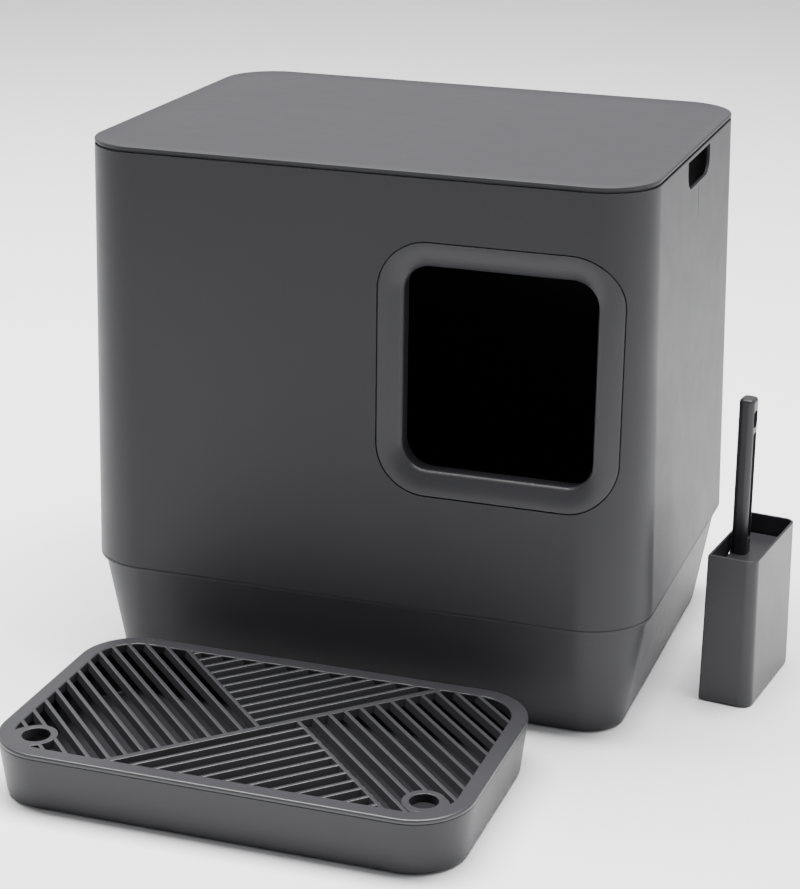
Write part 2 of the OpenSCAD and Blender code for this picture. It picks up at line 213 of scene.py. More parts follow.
def braced_sides(points, steps, margin):
    """Outline with two more points on each straight side, next to the corners."""
    braced_points = []
    count = len(points)
    for i, (x, y) in enumerate(points):
        braced_points.append((x, y))
        if i % (steps + 1) == steps:
            x1, y1 = points[(i + 1) % count]
            share = min(margin / max(hypot(x1 - x, y1 - y), 0.01), 0.4)
            for t in (share, 1 - share):
                braced_points.append((x + (x1 - x) * t, y + (y1 - y) * t))
    return braced_points


def mesh_piece(name, verts, faces):
    """A new piece from points in millimetres."""
    mesh = bpy.data.meshes.new(name)
    mesh.from_pydata([[c * MM for c in v] for v in verts], [], faces)
    mesh.update()
    piece = bpy.data.objects.new(name, mesh)
    bpy.context.scene.collection.objects.link(piece)
    return piece


def bridge(rings, loop=False):
    """Faces between rings of points that have the same count."""
    n = len(rings[0])
    faces = []
    count = len(rings) if loop else len(rings) - 1
    for k in range(count):
        low, high = k * n, (k + 1) % len(rings) * n
        for i in range(n):
            j = (i + 1) % n
            faces.append((low + i, low + j, high + j, high + i))
    return faces


def loft(name, size, radii, profile, centre=(0, 0), loop=False, steps=STEPS):
    """Rounded outlines joined one to the next, one for each (grow, z) of the
    profile, which runs up the outside. Ends are closed unless it is a loop."""
    rings = [[(x + centre[0], y + centre[1], z)
              for x, y in outline(*size, radii, grow, steps)]
             for grow, z in braced(profile, loop, VIEW_MARGIN)]
    faces = bridge(rings, loop=loop)
    n = len(rings[0])
    if not loop:
        faces.append(tuple(reversed(range(n))))
        faces.append(tuple(range((len(rings) - 1) * n, len(rings) * n)))
    return mesh_piece(name, [p for ring in rings for p in ring], faces)


def prism(name, points, low, high, place):
    """A block with a flat outline, from low to high along its own z axis."""
    n = len(points)
    verts = [place @ Vector((x, y, z)) for z in (low, high) for x, y in points]
    sides = [(i, (i + 1) % n, n + (i + 1) % n, n + i) for i in range(n)]
    return mesh_piece(name, verts, [*sides, tuple(reversed(range(n))), tuple(range(n, 2 * n))])


def upright(y=0.0):
    """Axes of a block drawn as a side view (x, z) that runs along y."""
    return Matrix.Translation((0, y, 0)) @ Matrix.Rotation(pi / 2, 4, "X")


def head_on():
    """Axes of a block drawn as seen along x, as (y, z)."""
    return Matrix.Rotation(pi / 2, 4, "Z") @ Matrix.Rotation(pi / 2, 4, "X")


def fix_normals(piece):
    """Turns the faces of a closed block outwards."""
    out = bmesh.new()
    out.from_mesh(piece.data)
    bmesh.ops.recalc_face_normals(out, faces=out.faces)
    out.to_mesh(piece.data)
    out.free()
    return piece


def apply_modifiers(piece):
    """Turns a piece's modifiers into plain mesh."""
    depsgraph = bpy.context.evaluated_depsgraph_get()
    mesh = bpy.data.meshes.new_from_object(piece.evaluated_get(depsgraph))
    piece.modifiers.clear()
    piece.data = mesh
    mesh.name = piece.name
    return piece


def boolean(piece, others, operation="DIFFERENCE"):
    """Cuts other blocks out of a piece, or joins them to it, and removes them."""
    for other in others:
        modifier = piece.modifiers.new("cut", "BOOLEAN")
        modifier.operation = operation
        modifier.solver = "EXACT"
        modifier.object = other
    apply_modifiers(piece)
    for other in others:
        bpy.data.objects.remove(other)
    return piece


def weld(piece, reach=0.002):
    """Merges points that lie on each other and removes faces without area."""
    out = bmesh.new()
    out.from_mesh(piece.data)
    bmesh.ops.remove_doubles(out, verts=out.verts, dist=reach * MM)
    bmesh.ops.dissolve_degenerate(out, edges=out.edges, dist=reach * MM)
    out.to_mesh(piece.data)
    out.free()
    return piece


def soften(piece, width, segments=2, angle=40):
    """Rounds a piece's sharp edges."""
    bevel = piece.modifiers.new("edges", "BEVEL")
    bevel.width = width * MM
    bevel.segments = segments
    bevel.limit_method = "ANGLE"
    bevel.angle_limit = radians(angle)
    bevel.use_clamp_overlap = True
    return apply_modifiers(piece)


def smooth(piece, angle=SHARP):
    """Shades a piece smoothly across all but its sharp edges."""
    for face in piece.data.polygons:
        face.use_smooth = True
    piece.data.set_sharp_from_angle(angle=angle)
    even = piece.modifiers.new("even", "WEIGHTED_NORMAL")
    even.keep_sharp = True
    even.weight = 100
    return apply_modifiers(piece)


def finish(piece, body, nodes, material):
    """Gives a piece its finish, its body and the nodes it stands for."""
    piece.data.materials.clear()
    piece.data.materials.append(material)
    smooth(piece)
    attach(piece, body)
    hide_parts(*nodes)
    return piece


# ---------------------------------------------------------------- materials

class Value:
    """A socket that sums up maths written as plain expressions."""

    def __init__(self, shader, socket):
        self.shader, self.socket = shader, socket

    def math(self, operation, *others):
        """One Math node on this value and others."""
        return self.shader.node("ShaderNodeMath", {"operation": operation}, self, *others)

    def __add__(self, other):
        return self.math("ADD", other)

    __radd__ = __add__

    def __mul__(self, other):
        return self.math("MULTIPLY", other)

    __rmul__ = __mul__

    def clamp(self, low, high):
        return self.math("MAXIMUM", low).math("MINIMUM", high)


class Shader:
    """One material, built node by node."""

    def __init__(self, name):
        self.material = bpy.data.materials.new(name)
        self.material.use_nodes = True
        self.tree = self.material.node_tree
        self.tree.nodes.clear()
        self.surface = self.tree.nodes.new("ShaderNodeBsdfPrincipled")
        output = self.tree.nodes.new("ShaderNodeOutputMaterial")
        self.tree.links.new(self.surface.outputs[0], output.inputs["Surface"])
        self.place = self.node("ShaderNodeTexCoord", {}, output="Object")

    def feed(self, socket, value):
        """Links a value to a socket, or sets it."""
        if isinstance(value, Value):
            self.tree.links.new(value.socket, socket)
        elif value is not None:
            socket.default_value = value

    def node(self, kind, settings, *values, output=0, **named):
        """One node with its settings, and its sockets fed in order or by name."""
        made = self.tree.nodes.new(kind)
        for key, value in settings.items():
            setattr(made, key, value)
        for socket, value in zip(made.inputs, values):
            self.feed(socket, value)
        for key, value in named.items():
            self.feed(made.inputs[key.replace("_", " ")], value)
        return Value(self, made.outputs[output])

    def noise(self, scale, detail=2.0, rough=0.5):
        """Cloudy pattern that stays fixed to the piece."""
        return self.node("ShaderNodeTexNoise", {}, output="Fac", Vector=self.place,
                         Scale=scale, Detail=detail, Roughness=rough)

    def colour(self, low, high, share):
        """Colour between two others. A Mix node has its colours on sockets 6 and 7."""
        mix = self.tree.nodes.new("ShaderNodeMix")
        mix.data_type = "RGBA"
        self.feed(mix.inputs[0], share)
        self.feed(mix.inputs[6], (*low, 1))
        self.feed(mix.inputs[7], (*high, 1))
        return Value(self, mix.outputs[2])

    def bump(self, height, distance, strength):
        """Normal that follows a height."""
        return self.node("ShaderNodeBump", {}, output="Normal", Strength=strength,
                         Distance=distance, Height=height)


def moulded_plastic(name, dark, light, rough, grain, shine=0.22):
    """Charcoal plastic: a fine eroded texture, faint flow clouds in the colour and
    a satin gloss that varies with them."""
    shader = Shader(name)
    clouds = shader.noise(CLOUDS, 3.0, 0.55)
    patches = shader.noise(PATCHES, 4.0, 0.6)
    texture = shader.noise(TEXTURE, 3.0, 0.65)
    speckle = shader.noise(SPECKLE, 1.0)
    share = (clouds * 0.55 + patches * 0.3 + texture * 0.15).clamp(0.0, 1.0)
    surface = shader.surface
    shader.feed(surface.inputs["Base Color"], shader.colour(dark, light, share))
    gloss = patches * 0.1 + texture * 0.08 + (rough - 0.09)
    shader.feed(surface.inputs["Roughness"], gloss)
    surface.inputs["IOR"].default_value = 1.5
    surface.inputs["Specular IOR Level"].default_value = shine
    height = texture * 0.7 + speckle * 0.3
    normal = shader.bump(height, grain * MM, 0.5)
    shader.feed(surface.inputs["Normal"], normal)
    return shader.material


HOOD_FINISH = moulded_plastic(
    "hood_plastic", (0.025, 0.0245, 0.028), (0.032, 0.0315, 0.0355), rough=0.44, grain=0.05)
FRAME_FINISH = moulded_plastic(
    "frame_plastic", (0.026, 0.0255, 0.029), (0.032, 0.0315, 0.0355), rough=0.36, grain=0.02, shine=0.3)
PAN_FINISH = moulded_plastic(
    "pan_plastic", (0.026, 0.0255, 0.029), (0.033, 0.0325, 0.0365), rough=0.44, grain=0.05)
TRAY_FINISH = moulded_plastic(
    "tray_plastic", (0.026, 0.0255, 0.029), (0.033, 0.0325, 0.0365), rough=0.4, grain=0.04)
GRATE_FINISH = moulded_plastic(
    "grate_plastic", (0.03, 0.0295, 0.0335), (0.038, 0.0375, 0.0415), rough=0.33, grain=0.02, shine=0.45)
SCOOP_FINISH = moulded_plastic(
    "scoop_plastic", (0.026, 0.0255, 0.029), (0.033, 0.0325, 0.0365), rough=0.34, grain=0.02, shine=0.3)


# ---------------------------------------------------------------- pan

def make_pan():
    """Flared walls on a filleted foot, with a rim flange and a step inside it."""
    size = (HOOD_W - 2 * PAN_INSET, HOOD_D - 2 * PAN_INSET)
    radii = [CORNER_R - PAN_INSET] * 4
    edge, neck_r, step_r, rim_r = 0.7, 1.2, 0.5, 1
    slope = PAN_FLARE / SEAT_Z
    inner_foot = -PAN_FLARE - PAN_WALL + slope * PAN_FLOOR
    profile = fillet([
        (-PAN_FLARE - PAN_REACH, 0, 0),
        (-PAN_FLARE, 0, PAN_FOOT_R),
        (-slope * RIM_T, SEAT_Z - RIM_T, neck_r),
        (PAN_INSET, SEAT_Z - RIM_T, edge),
        (PAN_INSET, SEAT_Z, edge),
        (0, SEAT_Z, step_r),
        (HOOD_SLOPE * RIM_STEP_H, SEAT_Z + RIM_STEP_H, rim_r),
        (-PAN_WALL, SEAT_Z + RIM_STEP_H, rim_r),
        (-PAN_WALL, SEAT_Z, 0),
        (inner_foot, PAN_FLOOR, PAN_FOOT_R),
        (-PAN_FLARE - PAN_REACH, PAN_FLOOR, 0),
    ])
    pan = loft("litter_pan_shell", size, radii, profile)
    return finish(pan, "pan", ["litter_pan"], PAN_FINISH)


# ---------------------------------------------------------------- hood

def hood_place(z):
    """Height above the floor of a height above the hood's lower edge."""
    return SEAT_Z + z


def entry_matrix():
    """Axes of the entry: x to the right, y up the face, z out of the hood."""
    lean = atan2(HOOD_LEAN, HOOD_H)
    at = (ENTRY_X, -HOOD_D / 2 - HOOD_SLOPE * ENTRY_Z, hood_place(ENTRY_Z))
    return Matrix.Translation(at) @ Matrix.Rotation(pi / 2 - lean, 4, "X")


def grip_block(side):
    """Block that cuts one hand grip: straight above, round corners below. It runs a
    hair into the ledge above, so that no two faces lie in one plane."""
    half, into_ledge = GRIP_W / 2, 0.05
    path = fillet([(-half, into_ledge, 0), (-half, -GRIP_H, GRIP_R),
                   (half, -GRIP_H, GRIP_R), (half, into_ledge, 0)], steps=10)
    place = Matrix.Translation((0, GRIP_Y, hood_place(LEDGE_Z))) @ Matrix.Rotation(pi / 2, 4, "Z")
    place = place @ Matrix.Rotation(pi / 2, 4, "X")
    reach = sorted((side * HOOD_W * 0.4, side * HOOD_W))
    return prism("grip_cut", path, *reach, place)


def witness_line(side):
    """Wedge that cuts the faint upright line below a grip, fading downwards."""
    into_grip, outside = 1, 3
    high = LEDGE_Z - GRIP_H + into_grip
    low = high - LINE_H
    face_high, face_low = [HOOD_W / 2 + HOOD_SLOPE * z for z in (high, low)]
    path = [(face_high - LINE_DEPTH, high), (face_low, low),
            (face_low + outside, low), (face_high + outside, high)]
    path = [(side * x, hood_place(z)) for x, z in path]
    return fix_normals(prism("line", path, -LINE_W / 2, LINE_W / 2, upright(GRIP_Y)))


def make_hood():
    """Leaning walls with round corners, a ledge for the lid, the entry's hole and
    the two hand grips."""
    edge, inwards = 0.6, 60
    top = HOOD_SLOPE * SHELL_TOP
    under = HOOD_SLOPE * LEDGE_Z
    profile = fillet([
        (0, hood_place(0), edge),
        (top, hood_place(SHELL_TOP), edge),
        (top - HOOD_WALL - LEDGE_W, hood_place(SHELL_TOP), edge),
        (under - HOOD_WALL - LEDGE_W, hood_place(LEDGE_Z), edge),
        (under - HOOD_WALL, hood_place(LEDGE_Z), edge),
        (-HOOD_WALL, hood_place(0), edge),
    ], closed=True)
    hood = loft("hood_walls", (HOOD_W, HOOD_D), [CORNER_R] * 4, profile, loop=True, steps=HOOD_STEPS)
    reach = FRAME_BAND + GROOVE_W
    hole = outline(ENTRY_W, ENTRY_H, [ENTRY_R] * 4, reach)
    entry = prism("entry_cut", hole, -inwards, PAST, entry_matrix())
    boolean(hood, [entry, grip_block(1), grip_block(-1)])
    soften(hood, width=0.45, segments=2, angle=50)
    weld(boolean(hood, [witness_line(1), witness_line(-1)]))
    return finish(hood, "hood", ["hood_shell"], HOOD_FINISH)


def make_lid():
    """Plate over a shadow gap, with a thin raised edge round a shallow dish and a
    lip below that locates it in the hood."""
    root_r, lip_r, seam_r, gap_r = 1, 0.6, 0.4, 0.3
    inward, into_dish = 30, 10
    lip = HOOD_WALL + LEDGE_W + LID_FIT
    plate_z = HOOD_H - LID_T
    rise = HOOD_SLOPE * plate_z
    edge = HOOD_SLOPE * HOOD_H
    dish, steps = [], 10
    for k in range(steps + 1):
        t = k / steps
        inset = 2 * LID_EDGE_R + t * (DISH_REACH - 2 * LID_EDGE_R)
        dish.append((edge - inset, hood_place(HOOD_H - DISH_DEPTH * (1 - (1 - t) ** DISH_CURVE))))
    dish.append((edge - DISH_REACH - into_dish, hood_place(HOOD_H - DISH_DEPTH)))
    foot = HOOD_SLOPE * (SHELL_TOP - LIP_H)
    under = fillet([
        (rise - lip - LIP_T - inward, hood_place(plate_z), 0),
        (rise - lip - LIP_T, hood_place(plate_z), root_r),
        (foot - lip - LIP_T, hood_place(SHELL_TOP - LIP_H), lip_r),
        (foot - lip, hood_place(SHELL_TOP - LIP_H), lip_r),
        (HOOD_SLOPE * SHELL_TOP - lip, hood_place(SHELL_TOP), seam_r),
        (HOOD_SLOPE * SHELL_TOP - SHADOW_DEPTH, hood_place(SHELL_TOP), gap_r),
        (rise - SHADOW_DEPTH, hood_place(plate_z), gap_r),
        (rise, hood_place(plate_z), seam_r),
        (edge, hood_place(HOOD_H), LID_EDGE_R),
        dish[0] + (0,),
    ], steps=5)
    lid = loft("lid_plate", (HOOD_W, HOOD_D), [CORNER_R] * 4, under + dish[1:], steps=HOOD_STEPS)
    return finish(lid, "lid", ["hood_lid"], HOOD_FINISH)


# ---------------------------------------------------------------- entry frame

def skin_depth(x, z):
    """How far the hood's face lies behind the entry's plane at a place on it."""
    r = CORNER_R + HOOD_SLOPE * z
    past = x - (HOOD_W / 2 - CORNER_R)
    return r - sqrt(r * r - past * past) if past > 0 else 0.0


def frame_profile():
    """Rings of the frame from its groove over the rolled lip to the collar and back
    behind the hood's wall: (distance outside the clear opening, share of the bend of
    the hood's face that the ring follows, depth behind that)."""
    groove_depth, back_r = 1.2, 0.8
    band = [(FRAME_BAND, 1.0, groove_depth), (FRAME_BAND, 1.0, FRAME_EDGE)]
    outer, steps = FRAME_BAND - FRAME_EDGE, 12
    for k in range(steps + 1):
        t = k / steps
        band.append((outer - t * (outer - ROLL_BAND), 1 - t * t, ROLL_DEPTH * t * t))
    back = FRAME_DEPTH + COLLAR_DEPTH
    inner = fillet([
        (ROLL_BAND, ROLL_DEPTH, 0), (0.0, FRAME_DEPTH - 1.5, ROLL_R), (COLLAR_FLARE, back, back_r),
        (COLLAR_FLARE + FRAME_T, back, back_r), (FRAME_T, FRAME_DEPTH + FRAME_T, 0),
    ], steps=6)
    collar = [(o, 0.0, d) for o, d in inner[1:]]
    reach = FRAME_BAND + GROOVE_W + FLANGE_LAP
    wall, bevel = HOOD_WALL, 0.5
    # The flange runs outwards again, flat against the inside of the hood's wall
    flange = [(FRAME_T + 3, 0.35, FRAME_DEPTH + FRAME_T - 1), (FRAME_BAND - 3, 1.0, wall + FRAME_T),
              (reach - bevel, 1.0, wall + FRAME_T), (reach, 1.0, wall + FRAME_T - bevel),
              (reach, 1.0, wall), (FRAME_BAND, 1.0, wall)]
    return band + collar + flange


def make_entry_frame():
    """Ring that follows the hood's face and rolls in to a collar round the hole."""
    place = entry_matrix()
    rings, corner_steps = [], 20
    for grow, share, depth in frame_profile():
        ring = []
        for x, y in outline(ENTRY_W, ENTRY_H, [ENTRY_R] * 4, grow, corner_steps):
            behind = share * skin_depth(x + ENTRY_X, y + ENTRY_Z) + depth
            ring.append(place @ Vector((x, y, -behind)))
        rings.append(ring)
    verts = [p for ring in rings for p in ring]
    ring_piece = fix_normals(mesh_piece("entry_ring", verts, bridge(rings, loop=True)))
    return finish(ring_piece, "hood", ["entry_frame"], FRAME_FINISH)


# ---------------------------------------------------------------- tray

def make_tray():
    """Shallow flared tray with a small upright rib inside each end."""
    slope, rim_r = TRAY_FLARE / TRAY_H, 0.9
    profile = fillet([
        (-TRAY_FLARE - TRAY_REACH, 0, 0),
        (-TRAY_FLARE, 0, TRAY_FOOT_R),
        (0, TRAY_H, rim_r),
        (-TRAY_WALL, TRAY_H, rim_r),
        (slope * TRAY_FLOOR - TRAY_WALL - TRAY_FLARE, TRAY_FLOOR, TRAY_FOOT_R - TRAY_WALL),
        (-TRAY_FLARE - TRAY_REACH, TRAY_FLOOR, 0),
    ], steps=6)
    centre = (TRAY_X, TRAY_Y)
    tray = loft("tray_shell", (TRAY_W, TRAY_D), [TRAY_R] * 4, profile, centre)
    below_grate, bevel, above_floor = 2, 0.6, 0.5
    top = TRAY_H - GRATE_DROP - below_grate
    ribs = []
    for side in (-1, 1):
        foot = side * (TRAY_W / 2 - TRAY_FLARE - TRAY_WALL)
        head = side * (TRAY_W / 2 - TRAY_FLARE + slope * top - TRAY_WALL)
        inner = -side * TRAY_RIB_T
        path = [(foot + side, TRAY_FLOOR + above_floor), (head + side, top), (head, top + bevel),
                (head + inner, top - bevel), (foot + inner, TRAY_FLOOR + above_floor)]
        place = Matrix.Translation((TRAY_X, TRAY_Y + TRAY_RIB_Y, 0)) @ Matrix.Rotation(pi / 2, 4, "X")
        ribs.append(fix_normals(prism("rib", path, -TRAY_RIB_W / 2, TRAY_RIB_W / 2, place)))
    boolean(tray, ribs, "UNION")
    return finish(tray, "tray", ["landing_tray"], TRAY_FINISH)


# ---------------------------------------------------------------- grate

def in_field(x, y):
    """Whether a place on the plate lies within the slots' outline."""
    half_w, half_d = TRAY_W / 2 - BORDER_W, TRAY_D / 2 - BORDER_W
    r = TRAY_R - BORDER_W
    dx, dy = max(abs(x) - half_w + r, 0), max(abs(y) - half_d + r, 0)
    return abs(x) <= half_w and abs(y) <= half_d and hypot(dx, dy) <= r


def on_plate(u, v):
    """Place on the plate of the turned axes: u to the back right, v to the front right."""
    return PATTERN_X + (u + v) * sqrt(0.5), (u - v) * sqrt(0.5)


def bar_line(start, way):
    """Centre line of a bar from a rib to the border, given in turned axes. It runs
    a little into both."""
    into_rib, into_border, step = 2, 5, 0.5
    inside = []
    for k in range(int(2 * TRAY_W / step)):
        t = k * step
        if in_field(*on_plate(start[0] + way[0] * t, start[1] + way[1] * t)):
            inside.append(t)
    if not inside:
        return None
    low = inside[0] - (into_border if inside[0] > step else into_rib)
    high = inside[-1] + into_border
    return [on_plate(start[0] + way[0] * t, start[1] + way[1] * t) for t in (low, high)]


def grate_lines():
    """Centre lines of the long rib, of the bars across it and of the bars along it."""
    count = ceil(TRAY_W / BAR_PITCH)
    spine = [[bar_line((0, 0), (-1, 0))[1], bar_line((0, 0), (1, 0))[1]]]
    across, along = [], []
    for side in (1, -1):
        for k in range(count):
            across.append(bar_line((side * (RIB_REACH + k * BAR_PITCH), 0), (0, side)))
            v = side * (SPINE_W / 2 - BAR_W / 2 + (k + 1) * BAR_PITCH)
            along.append(bar_line((side * RIB_REACH, v), (-side, 0)))
    return spine, [line for line in across if line], [line for line in along if line]


def bar_tree():
    """Geometry nodes that sweep a rounded section along each edge of a wire."""
    tree = bpy.data.node_groups.new("grate_bars", "GeometryNodeTree")
    face = tree.interface
    face.new_socket("Wire", in_out="INPUT", socket_type="NodeSocketGeometry")
    for name in ("Crest Width", "Foot Width", "Bar Depth", "Edge Radius"):
        face.new_socket(name, in_out="INPUT", socket_type="NodeSocketFloat")
    face.new_socket("Finish", in_out="INPUT", socket_type="NodeSocketMaterial")
    face.new_socket("Bars", in_out="OUTPUT", socket_type="NodeSocketGeometry")
    nodes, links = tree.nodes, tree.links
    source, result = nodes.new("NodeGroupInput"), nodes.new("NodeGroupOutput")
    wire = nodes.new("GeometryNodeMeshToCurve")
    links.new(source.outputs["Wire"], wire.inputs["Mesh"])
    section = nodes.new("GeometryNodeCurvePrimitiveQuadrilateral")
    section.mode = "TRAPEZOID"
    section.inputs["Offset"].default_value = 0.0
    # A sweep along a level line turns the section upside down
    links.new(source.outputs["Foot Width"], section.inputs["Top Width"])
    links.new(source.outputs["Crest Width"], section.inputs["Bottom Width"])
    links.new(source.outputs["Bar Depth"], section.inputs["Height"])
    rounded = nodes.new("GeometryNodeFilletCurve")
    rounded.mode = "POLY"
    links.new(section.outputs["Curve"], rounded.inputs["Curve"])
    rounded.inputs["Count"].default_value = BAR_EDGE_STEPS
    links.new(source.outputs["Edge Radius"], rounded.inputs["Radius"])
    sweep = nodes.new("GeometryNodeCurveToMesh")
    links.new(wire.outputs["Curve"], sweep.inputs["Curve"])
    links.new(rounded.outputs["Curve"], sweep.inputs["Profile Curve"])
    sweep.inputs["Fill Caps"].default_value = True
    real = nodes.new("GeometryNodeRealizeInstances")
    links.new(sweep.outputs["Mesh"], real.inputs["Geometry"])
    paint = nodes.new("GeometryNodeSetMaterial")
    links.new(real.outputs["Geometry"], paint.inputs["Geometry"])
    links.new(source.outputs["Finish"], paint.inputs["Material"])
    links.new(paint.outputs["Geometry"], result.inputs["Bars"])
    return tree


def swept_bars(name, lines, widths, top, depth, tree):
    """Bars of one width along their centre lines, made by the node tree."""
    verts, edges = [], []
    for start, end in lines:
        edges.append((len(verts), len(verts) + 1))
        for x, y in (start, end):
            verts.append(((x + TRAY_X) * MM, (y + TRAY_Y) * MM, (top - depth / 2) * MM))
    mesh = bpy.data.meshes.new(name)
    mesh.from_pydata(verts, edges, [])
    piece = bpy.data.objects.new(name, mesh)
    bpy.context.scene.collection.objects.link(piece)
    modifier = piece.modifiers.new("bars", "NODES")
    modifier.node_group = tree
    sizes = {"Crest Width": widths[0] * MM, "Foot Width": widths[1] * MM, "Bar Depth": depth * MM,
             "Edge Radius": BAR_EDGE_R * MM, "Finish": GRATE_FINISH}
    for item in tree.interface.items_tree:
        if item.in_out == "INPUT" and item.name in sizes:
            modifier[item.identifier] = sizes[item.name]
    return fix_normals(apply_modifiers(piece))


def lathe(name, profile, x, y, count=64):
    """Closed round block with a side view given as (radius, z)."""
    rings = [[(x + r * cos(2 * pi * i / count), y + r * sin(2 * pi * i / count), z)
              for i in range(count)] for r, z in profile]
    faces = bridge(rings)
    faces.append(tuple(range(count)))
    faces.append(tuple(range((len(rings) - 1) * count, len(rings) * count)))
    return fix_normals(mesh_piece(name, [p for ring in rings for p in ring], faces))


def finger_blocks(side, top, low):
    """Two discs that stay round a finger hole, of which the second fills the plate's
    corner a hair lower, and the block with a rounded mouth that cuts the hole."""
    x, y = TRAY_X + side * FINGER_X, TRAY_Y - FINGER_Y
    r, inward, above_low = FINGER_D / 2 + FINGER_RING, 4, 0.25
    discs = []
    for shift, sink in ((0.0, 0.03), (CORNER_FILL, 0.08)):
        foot = low + above_low + sink
        rim = fillet([(r - inward, foot, 0), (r, foot, 0.8),
                      (r, top - sink, 0.3), (r - inward, top - sink, 0)], steps=4)
        discs.append(lathe("finger_disc", rim, x + side * shift, y - shift))
    r = FINGER_D / 2
    mouth = [(0.7, 0.3), (0.7, 0.0), (0.32, -0.1), (0.1, -0.32), (0.0, -0.7)]
    hole = [(r + out, top + up) for out, up in mouth] + [(r, low - 2)]
    return discs, lathe("finger_hole", hole, x, y)


def make_grate():
    """Plate with a rounded border that drops into the tray, four fields of bars
    between ribs and a solid corner round each finger hole."""
    top = TRAY_H + GRATE_T
    low = TRAY_H - GRATE_DROP
    inset = TRAY_WALL + GRATE_FIT
    seam_r, slot_r, gap_r = 0.6, 1.4, 0.3
    border = fillet([
        (0, TRAY_H, seam_r), (0, top, GRATE_EDGE_R), (-BORDER_W, top, slot_r),
        (-BORDER_W, low, seam_r), (-inset, low, seam_r), (-inset, TRAY_H, gap_r),
    ], closed=True, steps=6)
    grate = loft("grate_plate", (TRAY_W, TRAY_D), [TRAY_R] * 4, border, (TRAY_X, TRAY_Y), loop=True)
    fix_normals(grate)
    tree = bar_tree()
    depth = GRATE_T + GRATE_DROP
    spine, across, along = grate_lines()
    bar, rib = (BAR_CREST, BAR_W), (SPINE_CREST, SPINE_W)
    # Each group's top is sunk and its depth cut by its own hair, so that no two
    # faces share a plane
    groups = [("across", across, bar, 0.12, 0.3), ("along", along, bar, 0.17, 0.4),
              ("spine", spine, rib, 0.06, 0.15)]
    solids = [swept_bars(name, lines, widths, top - sink, depth - cut, tree)
              for name, lines, widths, sink, cut in groups]
    holes = []
    for side in (-1, 1):
        discs, hole = finger_blocks(side, top, low)
        solids += discs
        holes.append(hole)
    boolean(grate, solids, "UNION")
    weld(boolean(grate, holes))
    return finish(grate, "grate_plate", ["grate"], GRATE_FINISH)


# ---------------------------------------------------------------- scoop and holder

def holder_matrix():
    """Axes of the holder: x from its flat side to its rounded one."""
    return Matrix.Translation((HOLDER_X, HOLDER_Y, 0)) @ Matrix.Rotation(-radians(HOLDER_TURN), 4, "Z")


def scoop_matrix():
    """Axes of the scoop: x from its open side to its slotted floor."""
    return holder_matrix() @ Matrix.Translation((-SCOOP_D / 2, 0, HOLDER_FLOOR))


def place_piece(piece, matrix):
    """Moves a mesh made round the origin to its place, in millimetres."""
    shift = matrix.copy()
    shift.translation = shift.translation * MM
    piece.data.transform(shift)
    return piece


def scoop_side(inset, reach):
    """Side view of the scoop's head, drawn in by inset and run out to reach past
    the open side: a straight back, a round shoulder and a curved floor."""
    d, r, top = SCOOP_D - inset, CURVE_R - inset, SCOOP_H - inset
    centre = SCOOP_D - CURVE_R
    through_foot, steps = -3, 20
    low = through_foot if inset else 0
    path = fillet([(-reach, top, 0), (d, top, SHOULDER_R - inset), (d, CURVE_Z, 0)], steps=8)
    end = atan2(CURVE_Z - low, sqrt(r * r - (CURVE_Z - low) ** 2))
    for k in range(1, steps + 1):
        a = end * k / steps
        path.append((centre + r * cos(a), CURVE_Z - r * sin(a)))
    return [*path, (-reach, low)]


def scoop_slots():
    """Blocks that cut the rows of long round-ended slots in the floor."""
    verts, faces = [], []
    for row in range(SLOT_ROWS):
        z = SLOT_Z + row * (SLOT_L + SLOT_GAP) + SLOT_GROWTH * row * (row - 1) / 2
        length = SLOT_L + row * SLOT_GROWTH
        for col in range(SLOT_COLS):
            y = (col - (SLOT_COLS - 1) / 2) * SLOT_PITCH
            ring = outline(SLOT_W, length, [SLOT_W / 2 - 0.01] * 4, steps=6, margin=0.5)
            start, n = len(verts), len(ring)
            for x in (SCOOP_D - SLOT_REACH, SCOOP_D + PAST):
                verts += [(x, y + p, z + length / 2 + q) for p, q in ring]
            faces += [(start + i, start + (i + 1) % n, start + n + (i + 1) % n, start + n + i)
                      for i in range(n)]
            faces += [tuple(range(start + n - 1, start - 1, -1)), tuple(range(start + n, start + 2 * n))]
    return fix_normals(mesh_piece("slots", verts, faces))


def handle_block(name, grow, low, high):
    """Upright block with the section of the scoop's handle."""
    section = outline(HANDLE_T, HANDLE_W, [HANDLE_R] * 4, grow)
    return prism(name, section, low, high, Matrix.Translation((HANDLE_T / 2, 0, 0)))


def make_scoop_head():
    """Open shovel with soft rims, a slotted floor and a socket for the handle."""
    half, open_side, beyond, below_rim = SCOOP_W / 2, 40, 10, 0.4
    head = fix_normals(prism("scoop_bowl", scoop_side(0, open_side), -half, half, upright()))
    soften(head, width=4.6, segments=5, angle=55)
    half -= SCOOP_WALL
    hollow = fix_normals(
        prism("hollow", scoop_side(SCOOP_WALL, open_side + PAST), -half, half, upright()))
    soften(hollow, width=2.6, segments=4, angle=55)
    away, top = -open_side - beyond, SCOOP_H + beyond
    box = [(away, -beyond), (0, -beyond), (0, top), (away, top)]
    front = fix_normals(prism("front", box, -SCOOP_W, SCOOP_W, upright()))
    boolean(head, [hollow, front])
    socket = handle_block("socket", 0.0, SCOOP_H - TANG_L - SCOOP_WALL, SCOOP_H - below_rim)
    boolean(head, [fix_normals(socket)], "UNION")
    bore = handle_block("bore", -SOCKET_WALL, SCOOP_H - TANG_L, SCOOP_H + PAST)
    boolean(head, [fix_normals(bore), scoop_slots()])
    soften(head, width=0.5, segments=2, angle=45)
    place_piece(head, scoop_matrix())
    return finish(head, "scoop", ["scoop_head"], SCOOP_FINISH)


